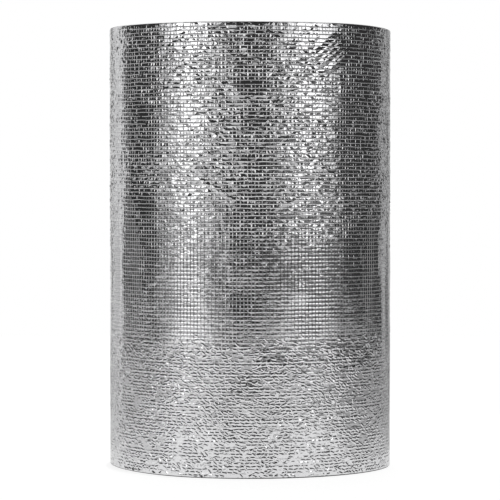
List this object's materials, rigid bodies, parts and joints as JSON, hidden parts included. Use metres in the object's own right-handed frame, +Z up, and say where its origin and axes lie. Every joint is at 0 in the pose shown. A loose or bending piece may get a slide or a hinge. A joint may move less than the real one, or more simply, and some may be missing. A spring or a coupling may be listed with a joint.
{
  "type": "foil-faced insulation roll",
  "caption": "Roll of light insulation matting faced with mesh-reinforced aluminium foil, standing on its end, with an open bore and its wound turns showing on both ends.",
  "frame": {"origin": "on the axis of the bore, in the plane that the roll stands on", "axes": "+Z up along the axis of the bore, -Y towards the viewer of the picture, +X to the viewer's right"},
  "size_m": [0.3852, 0.3924, 0.6],
  "materials": {
    "foil": "bright crinkled foil over a fine square mesh"
  },
  "bodies": {
    "root": {"insulation_roll": "foil"}
  },
  "joints": []
}
